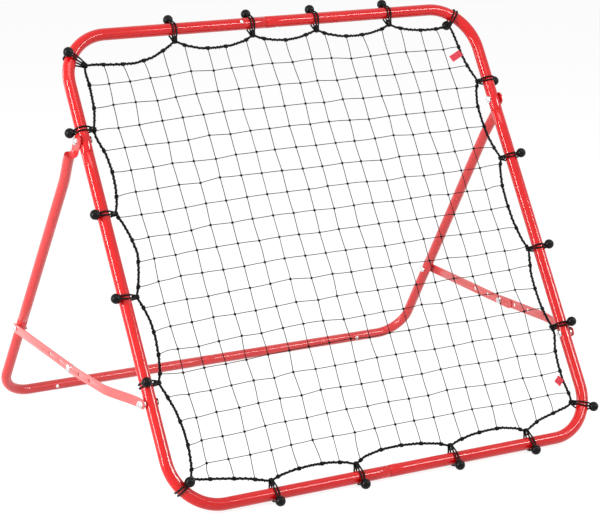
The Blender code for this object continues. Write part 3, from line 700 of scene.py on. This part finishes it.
def dome_profile(length, thread):
    """A coach bolt's profile: its domed head below zero, its shank and the last turns of its thread."""
    profile = [(0, -DOME)]
    for step in range(1, 9):
        angle = math.pi / 2 * step / 9
        profile.append((HEAD_R * math.sin(angle), -DOME * math.cos(angle) ** 0.9))
    profile += [(HEAD_R, -0.35 * MM), (HEAD_R - 0.2 * MM, 0), (BOLT_R, 0)]
    height = length - thread
    while height < length - 0.9 * MM:
        profile += [(BOLT_R, height), (BOLT_R - 0.45 * MM, height + 0.6 * MM)]
        height += 1.2 * MM
    profile += [(BOLT_R - 0.1 * MM, length - 0.7 * MM), (BOLT_R - 0.7 * MM, length), (0, length)]
    return profile


def hexagon(shape, thick, origin, axis):
    """A hexagon nut with the corners of its outer face chamfered by a cone."""
    sides = 72
    angles = np.arange(sides) * math.tau / sides
    flat = NUT_R * math.cos(math.pi / 6) / np.cos(np.mod(angles, math.pi / 3) - math.pi / 6)
    outline = [(0.0, NUT_R)]
    outline += [(thick - h * MM, NUT_R - max(0.0, 1.1 - h) * 1.35 * MM) for h in (1.1, 0.8, 0.5, 0.25, 0.0)]
    axis = np.array(tuple(axis), float)
    side = np.array((0.0, 1.0, 0.0))
    origin = np.array(tuple(origin), float)
    ring = circle(side, np.cross(axis, side), sides)
    rings = []
    for height, limit in outline:
        rings.append(origin + axis * height + ring * np.minimum(flat, limit)[:, None])
    # The face falls away a little towards the thread
    inner = BOLT_R + 0.35 * MM
    for height, radius in ((thick, inner + 0.5 * MM), (thick - 0.6 * MM, inner - 0.5 * MM)):
        rings.append(origin + axis * height + ring * radius)
    shape.rings(rings, list(range(len(rings) + 1)))


def metal(shape, node, body):
    shape.piece(node + "_zinc", zinc, body, [node], "zinc")


def turned_metal(node, body, profile, origin, axis, sides=32):
    shape = Shape()
    shape.turned(profile, origin, axis, sides)
    metal(shape, node, body)


def nut(node, body, thick, origin, axis, stub=()):
    """A nut, with a turned stub of its bolt where one is given."""
    shape = Shape()
    hexagon(shape, thick, origin, axis)
    if stub:
        shape.turned(stub, origin, axis)
    metal(shape, node, body)


def outwards(side, x, place):
    return Vector((side * x, place.y, place.z))


tab_outer_x = HALF + TUBE_R + GAP + TAB_THICK
bolt_seat_x = HALF - TUBE_R - GAP
rear_span = (knee - strut_stand).length
front_span = (knee - strut_frame).length
for side, word in ((-1, "left"), (1, "right")):
    out = Vector((side, 0, 0))
    front_bar, rear_bar = "strut_front_" + word, "strut_rear_" + word
    rear_holes = [rear_span - HOLE_PITCH * step for step in (1, 2)]
    front_holes = [front_span - HOLE_PITCH * step for step in (1, 2)]
    flat_bar("strut_rear_bar_" + word, side, REAR_BAR_X, strut_stand, REAR_BAR_REACH, rear_holes, rear_bar)
    slant = FRONT_BAR_X - FRONT_BAR_END_X
    name = "strut_front_bar_" + word
    flat_bar(name, side, FRONT_BAR_X, strut_frame, FRONT_BAR_REACH, front_holes, front_bar, slant)

    for kind, place, nut_x in (
        ("pivot", pivot, tab_outer_x + GAP),
        ("strut_frame", strut_frame, FRONT_BAR_END_X + BAR_THICK + GAP),
    ):
        profile = dome_profile(nut_x + NUT_THICK + END_PROUD - bolt_seat_x, END_PROUD + 1 * MM)
        origin = outwards(side, bolt_seat_x, place)
        turned_metal(f"{kind}_bolt_{word}", "front_frame", profile, origin, out)
        origin = outwards(side, nut_x, place)
        nut(f"{kind}_nut_{word}", "front_frame", NUT_THICK, origin, out)

    top, rim, chamfer = FRONT_BAR_STANDOFF, 6.5 * MM, 0.3 * MM
    ring = [(BOLT_R, 0), (rim - chamfer, 0), (rim, chamfer), (rim, top - chamfer), (rim - chamfer, top)]
    ring.append((BOLT_R, top))
    origin = outwards(side, HALF + TUBE_R + GAP, strut_frame)
    turned_metal("strut_spacer_" + word, "front_frame", ring, origin, out)

    head_x = REAR_BAR_X + BAR_THICK + GAP
    nut_x = leg_x(STRUT_DROP) - STAND_R - GAP
    profile = dome_profile(head_x - nut_x + THIN_NUT + GAP, 1 * MM)
    origin = outwards(side, head_x, strut_stand)
    turned_metal("strut_stand_bolt_" + word, "rear_stand", profile, origin, -out)
    origin = outwards(side, nut_x, strut_stand)
    nut("strut_stand_nut_" + word, "rear_stand", THIN_NUT, origin, -out)

    profile = dome_profile(BAR_THICK + GAP, 0)
    origin = outwards(side, FRONT_BAR_X + BAR_THICK + GAP, knee)
    turned_metal("knee_bolt_" + word, front_bar, profile, origin, -out)
    stub = [(0, -BAR_THICK), (BOLT_R - 0.3 * MM, -BAR_THICK), (BOLT_R, -BAR_THICK + 0.3 * MM)]
    stub += [(BOLT_R, NUT_THICK - 0.6 * MM), (BOLT_R - 0.6 * MM, NUT_THICK), (0, NUT_THICK)]
    origin = outwards(side, REAR_BAR_X - GAP, knee)
    nut("knee_nut_" + word, rear_bar, NUT_THICK, origin, -out, stub)


def small_screw(name, body, radius, seat, direction, recess):
    """A pan-head screw, or a rivet where it has no recess, with its stem in the tube wall."""
    head = 1.6 * MM
    profile = [(0, -4 * MM), (SCREW_R, -4 * MM), (SCREW_R, 0), (radius - 0.15 * MM, 0), (radius, 0.2 * MM)]
    for step in range(1, 9):
        angle = math.pi / 2 * step / 9
        profile.append((radius * math.cos(angle) ** 0.8, head * (0.15 + 0.85 * math.sin(angle))))
    if recess:
        profile += [(1.5 * MM, head * 0.98), (0.9 * MM, head * 0.35), (0, head * 0.2)]
    else:
        profile.append((0, head))
    turned_metal(name, body, profile, seat, direction, 28)


front = Vector((0, -1, 0))
up = Vector((0, 0, 1))
lean_front = (frame_matrix.to_3x3() @ front).normalized()
lean_up = (frame_matrix.to_3x3() @ up).normalized()
for name, x, v, direction, recess in (
    ("top_joint_screw", -80 * MM, SIDE, lean_front, True),
    ("top_joint_rivet", 5 * MM, SIDE, -lean_up, False),
    ("bottom_joint_rivet", -5 * MM, 0, lean_up, False),
):
    seat = frame_matrix @ on_frame(x, v) + direction * (TUBE_R + GAP)
    small_screw(name, "front_frame", 3.6 * MM, seat, direction, recess)
for name, x, direction, recess in (
    ("base_joint_screw", 3 * MM, up, True),
    ("base_button_left", -388 * MM, front, False),
    ("base_button_right", 388 * MM, front, False),
):
    seat = Vector((x, bar_centre.y, bar_centre.z)) + direction * (STAND_R + GAP)
    small_screw(name, "rear_stand", 4 * MM, seat, direction, recess)


# Ties: where each goes round the tube, and where it holds the rope
Tie = namedtuple("Tie", "name middle inward inset ball_turn")
ties = []


def side_ties(name, places, middle, inward):
    for number, (at, ball_turn) in enumerate(places, 1):
        ties.append(Tie(f"tie_{name}_{number}", middle(at * MM), inward, ROPE_INSET, ball_turn))


def corner_tie(name, side, v):
    angle, ball_turn, inset = CORNER_TIES[name]
    out = on_frame(math.cos(math.radians(angle)), math.sin(math.radians(angle)))
    middle = on_frame(side * (HALF - BEND_R), v) + out * BEND_R
    ties.append(Tie("tie_" + name, middle, -out, inset, ball_turn))


corner_tie("top_left", -1, SIDE - BEND_R)
side_ties("top", TOP_TIES, lambda at: on_frame(at, SIDE), on_frame(0, -1))
corner_tie("top_right", 1, SIDE - BEND_R)
side_ties("right", RIGHT_TIES, lambda at: on_frame(HALF, at), on_frame(-1, 0))
corner_tie("bottom_right", 1, BEND_R)
side_ties("bottom", BOTTOM_TIES[::-1], lambda at: on_frame(at, 0), on_frame(0, 1))
corner_tie("bottom_left", -1, BEND_R)
side_ties("left", LEFT_TIES[::-1], lambda at: on_frame(-HALF, at), on_frame(1, 0))


def hull(points):
    """The convex outline of flat points, anticlockwise."""
    points = sorted(set(points))

    def chain(run):
        kept = []
        for p in run:
            while len(kept) > 1:
                (ax, ay), (bx, by) = kept[-2], kept[-1]
                if (bx - ax) * (p[1] - ay) - (by - ay) * (p[0] - ax) > 0:
                    break
                kept.pop()
            kept.append(p)
        return kept[:-1]

    return chain(points) + chain(points[::-1])


def resample(points, step, closed=False):
    """The same path with evenly spread points."""
    points = np.array([tuple(p) for p in points], float)
    if closed:
        points = np.concatenate([points, points[:1]])
    lengths = np.concatenate([[0], np.cumsum(np.linalg.norm(np.diff(points, axis=0), axis=1))])
    number = max(3, int(round(lengths[-1] / step)) + 1)
    at = np.linspace(0, lengths[-1], number)
    fine = np.stack([np.interp(at, lengths, points[:, i]) for i in range(3)], 1)
    return fine[:-1] if closed else fine


def softened(points, rounds, closed=False):
    """Rounds the corners of a path and keeps its ends."""
    for _ in range(rounds):
        if closed:
            points = 0.5 * points + 0.25 * (np.roll(points, 1, 0) + np.roll(points, -1, 0))
        else:
            points[1:-1] = 0.5 * points[1:-1] + 0.25 * (points[:-2] + points[2:])
    return points


for number, tie in enumerate(ties):
    rng = random.Random(100 + number)
    turn = math.radians(tie.ball_turn)
    ball = (-math.cos(turn) * BALL_REACH, math.sin(turn) * BALL_REACH)
    rim = []
    for (x, y), radius in (
        ((0.0, 0.0), TUBE_R + CORD_R),
        ((tie.inset, 0.0), ROPE_R + CORD_R),
        (ball, 1.5 * MM),
    ):
        rim += [(round(p, 7), round(q, 7)) for p, q in circle_points(x, y, radius, 240)]
    outline = hull(rim)
    # The loop is cut at the ball and runs behind the tube, round the rope and back over the front
    first = min(range(len(outline)), key=lambda k: math.dist(outline[k], ball))
    outline = outline[first:] + outline[:first]
    flat = resample([(x, y, 0.0) for x, y in outline], CORD_STEP, closed=True)
    skew = rng.uniform(-1, 1) * 1.2 * MM
    cord = Shape()
    for strand in (-1, 1):
        line = []
        for x, y, _ in flat:
            near_ball = math.dist((x, y), ball) / (20 * MM)
            near_rope = math.dist((x, y), (tie.inset, 0)) / (18 * MM)
            spread = CORD_R + 1.9 * MM * ease(near_ball) * ease(near_rope - 0.25)
            lean = skew * math.sin(math.pi * min(1.0, near_ball)) * (1 if y > 0 else -1)
            line.append((x, y, strand * spread + lean))
        cord.tube(softened(np.array(line), 1), CORD_R, 12, closed=True)
    forward = on_frame(0, 0, 1)
    axes = Matrix((tie.inward, forward, tie.inward.cross(forward))).transposed().to_4x4()
    matrix = frame_matrix @ Matrix.Translation(tie.middle) @ axes
    # A few turns of a thin binding hold the strands together above the rope
    bind = tie.inset - ROPE_R - 3.6 * MM
    turns = []
    for step in range(46):
        angle = math.tau * step / 15
        rise = (step / 45 - 0.5) * 3.0 * MM
        turns.append((bind + rise, 4.3 * MM * math.sin(angle), 4.2 * MM * math.cos(angle)))
    cord.cord(turns, LASHING_R, 8)
    cord.piece(tie.name + "_cord", elastic, "front_frame", [tie.name], "black_cord", matrix)

    # The ball: moulded in two halves with a fine seam, and a dimple where the cord is let in
    shape = Shape()
    away = Vector((-math.cos(turn), math.sin(turn), 0)).normalized()
    profile = [(0, -BALL_R * 0.80), (1.9 * MM, -BALL_R * 0.82), (2.7 * MM, -BALL_R * 0.93)]
    for step in range(1, 26):
        angle = -math.pi / 2 + 0.36 + (math.pi - 0.36) * step / 26
        seam = 0.12 * MM * math.exp(-((angle - 0.1) / 0.035) ** 2)
        profile.append(((BALL_R + seam) * math.cos(angle), (BALL_R + seam) * math.sin(angle)))
    profile.append((0, BALL_R))
    shape.turned(profile, away * BALL_REACH, away, 36)
    shape.piece(tie.name + "_ball", ball_black, "front_frame", [tie.name], "black_ball", matrix)


# Border rope: it hangs in cusps from tie to tie, and a thin lashing winds round it
def rope_place(tie):
    return tie.middle + tie.inward * tie.inset


corners = []
for tie, following in zip(ties, ties[1:] + ties[:1]):
    start = rope_place(tie)
    chord = rope_place(following) - start
    inward = Vector((chord.z, 0, -chord.x)).normalized()
    corners.append(start)
    for part, depth in zip(ROPE_PARTS, ROPE_DEPTHS[tie.name.removeprefix("tie_")]):
        corners.append(start + chord * part + inward * depth * MM)
rope_line = softened(resample(corners, ROPE_STEP, closed=True), 12, closed=True)
tie_places = np.array([tuple(rope_place(tie)) for tie in ties])
from_ties = np.linalg.norm(rope_line[:, None] - tie_places[None], axis=2).min(1)
rope_points, rope_tangents, rope_normals, rope_across = path_frames(rope_line, closed=True)
count = len(rope_points)


def wound(radius, offset, angles):
    """A path that winds round the rope."""
    radius = np.broadcast_to(radius, count)[:, None]
    turn = (angles + offset)[:, None]
    return rope_points + radius * (rope_normals * np.cos(turn) + rope_across * np.sin(turn))


rope = Shape()
lay_turns = round(ROPE_STEP * count / LAY)
lay_angles = np.arange(count) * math.tau * lay_turns / count
for strand in range(3):
    rope.tube(wound(STRAND_LAY_R, math.tau * strand / 3, lay_angles), STRAND_R, 8, closed=True)
rope.piece("border_rope_strands", rope_fibre, "front_frame", ["border_rope"], "black_cord", frame_matrix)

# Net: each twine ends in a knot on the rope. The inside knots settle between their neighbours.
rng = random.Random(7)
columns = [NET_U + (i - (TWINES - 1) / 2) * MESH_WIDE for i in range(TWINES)]
rows = [NET_V + (i - (TWINES - 1) / 2) * MESH_TALL for i in range(TWINES)]


def row_drop(u):
    """How far the rows hang down towards the left side."""
    return min(0.0, ROW_SLOPE * (u - ROW_SLOPE_FROM))


def on_rope(axis, value, sign):
    """The place on the rope's line where it crosses this value, on the side that the sign gives."""
    other = 2 - axis
    here = rope_points[:, axis] - value
    after = np.roll(here, -1)
    hits = np.nonzero((here * after <= 0) & (here != after))[0]
    return max(hits, key=lambda k: sign * rope_points[k, other])


grid = np.zeros((TWINES + 2, TWINES + 2, 3))
edge_places = []
for i, (u, v) in enumerate(zip(columns, rows), 1):
    for end, sign in ((0, -1), (TWINES + 1, 1)):
        k = on_rope(0, u + rng.uniform(-5, 5) * MM, sign)
        grid[i, end] = rope_points[k]
        edge_places.append(k)
        k = on_rope(2, v + 0.8 * row_drop(sign * HALF) + rng.uniform(-5, 5) * MM, sign)
        grid[end, i] = rope_points[k]
        edge_places.append(k)
inner = slice(1, TWINES + 1)
inside = range(1, TWINES + 1)
crossings = [(i, j) for i in inside for j in inside]
for i, j in crossings:
    grid[i, j] = (columns[i - 1], 0, rows[j - 1] + row_drop(columns[i - 1]))
own = grid.copy()
for _ in range(400):
    around = grid[:-2, inner] + grid[2:, inner] + grid[inner, :-2] + grid[inner, 2:]
    grid[inner, inner] = 0.5 * around / 4 + 0.5 * own[inner, inner]
for i, j in crossings:
    grid[i, j] += (rng.gauss(0, 1.2) * MM, rng.gauss(0, 0.8) * MM, rng.gauss(0, 1.2) * MM)


def twine_path(knots):
    """A twine from knot to knot, with a little slack in its end meshes."""
    path = []
    for k in range(len(knots) - 1):
        start, end = knots[k], knots[k + 1]
        at_end = k in (0, len(knots) - 2)
        slack = rng.gauss(0, 1.3 if at_end else 0.35) * MM
        side = np.cross((end - start) / np.linalg.norm(end - start), (0, 1, 0))
        for step in range(4):
            part = step / 4
            bow = math.sin(math.pi * part)
            path.append(start + (end - start) * part + side * slack * bow)
    path.append(knots[-1])
    return path


net = Shape()
for i in inside:
    for line in (grid[i, :], grid[:, i]):
        net.tube(twine_path(line), TWINE_R, 6)


def knot(shape, place, size, turn):
    """A sheet bend, drawn as two short crossed loops of the twine."""
    for way in (0, 1):
        points = []
        c, s = math.cos(turn + way * math.pi / 2), math.sin(turn + way * math.pi / 2)
        for step in range(9):
            angle = math.tau * step / 8 * 0.92
            x = size * math.cos(angle)
            y = size * 0.75 * math.sin(angle)
            z = 0.6 * size * math.sin(angle * 0.5 + way)
            points.append(place + np.array((x * c - y * s, z * (1 if way else -1) * 0.6, x * s + y * c)))
        shape.tube(points, TWINE_R * 1.6, 6)


for i, j in crossings:
    knot(net, grid[i, j], KNOT_SIZE, rng.uniform(0, math.pi))
net.piece("net_twine", twine_fibre, "front_frame", ["net"], "black_cord", frame_matrix)

# Lashing: the net's edge cord winds round the rope, close and uneven, and is bare next to the ties
lashing = Shape()
wander = np.zeros(count)
phase = 0.0
for k in range(count):
    if k % 20 == 0:
        pace = rng.uniform(6.5, 12.5) * MM
    phase += math.tau * ROPE_STEP / pace
    wander[k] = phase
loose = np.array([rng.uniform(-0.25, 0.5) * MM for _ in range(count // 5 + 2)])
loose = np.interp(np.arange(count) / 5, np.arange(len(loose)), loose)
path = wound(2.8 * MM + loose, 0.0, wander)
for bare, run in groupby(range(count), key=lambda k: from_ties[k] < BARE_BY_TIE):
    run = [path[k] for k in run]
    if not bare and len(run) > 4:
        lashing.cord(resample(run, CORD_STEP), LASHING_R, 6)
for k in edge_places:
    tangent, normal, across = rope_tangents[k], rope_normals[k], rope_across[k]
    wraps = []
    for step in range(50):
        angle = math.tau * step / 13
        rise = (step / 49 - 0.5) * 6.0 * MM
        round_rope = normal * math.cos(angle) + across * math.sin(angle)
        wraps.append(rope_points[k] + tangent * rise + 3.3 * MM * round_rope)
    lashing.cord(wraps, LASHING_R, 6)
lashing.piece("border_rope_lashing", twine_fibre, "front_frame", ["border_rope"], "black_cord", frame_matrix)


# Tags: a ribbon folded over the rope, its two ends hanging together
def ribbon_tag(name, middle, size, turn):
    (u, v), (wide, tall) = middle, size
    shape = Shape()
    steps_long, steps_wide = 26, 8
    c, s = math.cos(math.radians(turn)), math.sin(math.radians(turn))
    thick = 0.5 * MM
    rings = []
    for a in range(steps_long + 1):
        along = (a / steps_long - 0.5) * wide * MM
        upper, lower = [], []
        for b in range(steps_wide + 1):
            across = (b / steps_wide - 0.5) * tall * MM
            x, y = u * MM + along * c - across * s, v * MM + along * s + across * c
            bulge = 4.4 * MM + 0.9 * MM * math.sin(a * 0.5) - 1.3 * MM * (across / (tall * MM)) ** 2
            upper.append(tuple(on_frame(x, y, bulge + thick / 2)))
            lower.append(tuple(on_frame(x, y, bulge - thick / 2)))
        rings.append(upper + lower[::-1])
    shape.rings(rings, [0.1 * k for k in range(len(rings) + 1)])
    piece = shape.piece(name + "_ribbon", ribbon, "front_frame", [name], "red_ribbon", frame_matrix)


for name, (middle, size, turn) in TAGS.items():
    ribbon_tag(name, middle, size, turn)


# Stage: a pale floor, soft light and the photograph's camera
def area_light(name, place, target, size, power, size_y=None):
    light = bpy.data.lights.new(name, "AREA")
    light.shape = "RECTANGLE"
    light.size = size
    light.size_y = size_y or size
    light.energy = power
    obj = linked(name, light)
    obj.location = place
    obj.rotation_euler = (Vector(target) - Vector(place)).to_track_quat("-Z", "Y").to_euler()


area_light("side", (-3.3, -0.3, 1.3), (0, 0, 0.4), 0.42, 88, 2.4)
area_light("front", (2.2, -2.6, 2.5), (0, 0, 0.4), 1.8, 56, 0.4)
area_light("top", (-0.6, -1.4, 3.4), (0, 0, 0.4), 2.4, 22, 0.9)
area_light("rim", (-2.2, 2.4, 1.0), (-0.4, 0, 0.3), 1.0, 14)


def seen_directly(tree, *others):
    """1 for the rays from the camera, from glossy surfaces and of the other kinds named, and else 0."""
    paths = tree.nodes.new("ShaderNodeLightPath")
    seen = paths.outputs["Is Camera Ray"]
    for kind in ("Is Glossy Ray", *others):
        either = tree.nodes.new("ShaderNodeMath")
        either.operation = "MAXIMUM"
        tree.links.new(seen, either.inputs[0])
        tree.links.new(paths.outputs[kind], either.inputs[1])
        seen = either.outputs[0]
    return seen


def diffuse(tree, level):
    node = tree.nodes.new("ShaderNodeBsdfDiffuse")
    node.inputs["Color"].default_value = (level, level, level, 1)
    return node.outputs[0]


# The floor's paper is grey with a glow where it is seen, so that it looks white and keeps the shadow
paper = bpy.data.materials.new("floor_paper")
paper.use_nodes = True
tree = paper.node_tree
tree.nodes.clear()
output = tree.nodes.new("ShaderNodeOutputMaterial")
glow = tree.nodes.new("ShaderNodeEmission")
glow.inputs["Strength"].default_value = 0.86
shown = tree.nodes.new("ShaderNodeAddShader")
choose = tree.nodes.new("ShaderNodeMixShader")
for start, end in (
    (diffuse(tree, 0.3), shown.inputs[0]),
    (glow.outputs[0], shown.inputs[1]),
    (seen_directly(tree), choose.inputs[0]),
    (diffuse(tree, 0.8), choose.inputs[1]),
    (shown.outputs[0], choose.inputs[2]),
    (choose.outputs[0], output.inputs["Surface"]),
):
    tree.links.new(start, end)

floor_mesh = bpy.data.meshes.new("floor")
reach = 30.0
floor_corners = [(-reach, -reach, 0), (reach, -reach, 0), (reach, reach, 0), (-reach, reach, 0)]
floor_mesh.from_pydata(floor_corners, [], [(0, 1, 2, 3)])
floor_mesh.materials.append(paper)
floor = linked("floor", floor_mesh)
floor.location.z = -0.2 * MM

world = bpy.data.worlds.new("studio")
bpy.context.scene.world = world
world.use_nodes = True
tree = world.node_tree
background = tree.nodes["Background"]
background.inputs["Color"].default_value = (1, 1, 1, 1)
level = tree.nodes.new("ShaderNodeMapRange")
level.inputs["To Min"].default_value = 0.3
level.inputs["To Max"].default_value = 1.0
tree.links.new(seen_directly(tree, "Is Transmission Ray"), level.inputs["Value"])
tree.links.new(level.outputs["Result"], background.inputs["Strength"])

camera_data = bpy.data.cameras.new("camera")
camera_data.sensor_width = 36
camera_data.lens = 127.8
camera_data.clip_end = 200
camera = linked("camera", camera_data)
yaw, pitch, roll = math.radians(30.265), math.radians(-15.474), math.radians(1.004)
right = Vector((math.cos(yaw), -math.sin(yaw), 0))
ahead = Vector((math.sin(yaw) * math.cos(pitch), math.cos(yaw) * math.cos(pitch), math.sin(pitch)))
above = right.cross(ahead)
right, above = (
    math.cos(roll) * right + math.sin(roll) * above,
    math.cos(roll) * above - math.sin(roll) * right,
)
turned = Matrix((right, above, -ahead)).transposed().to_4x4()
camera.matrix_world = Matrix.Translation((-2.1755, -3.7169, 1.5497)) @ turned
bpy.context.scene.camera = camera
bpy.context.scene.view_settings.view_transform = "Standard"
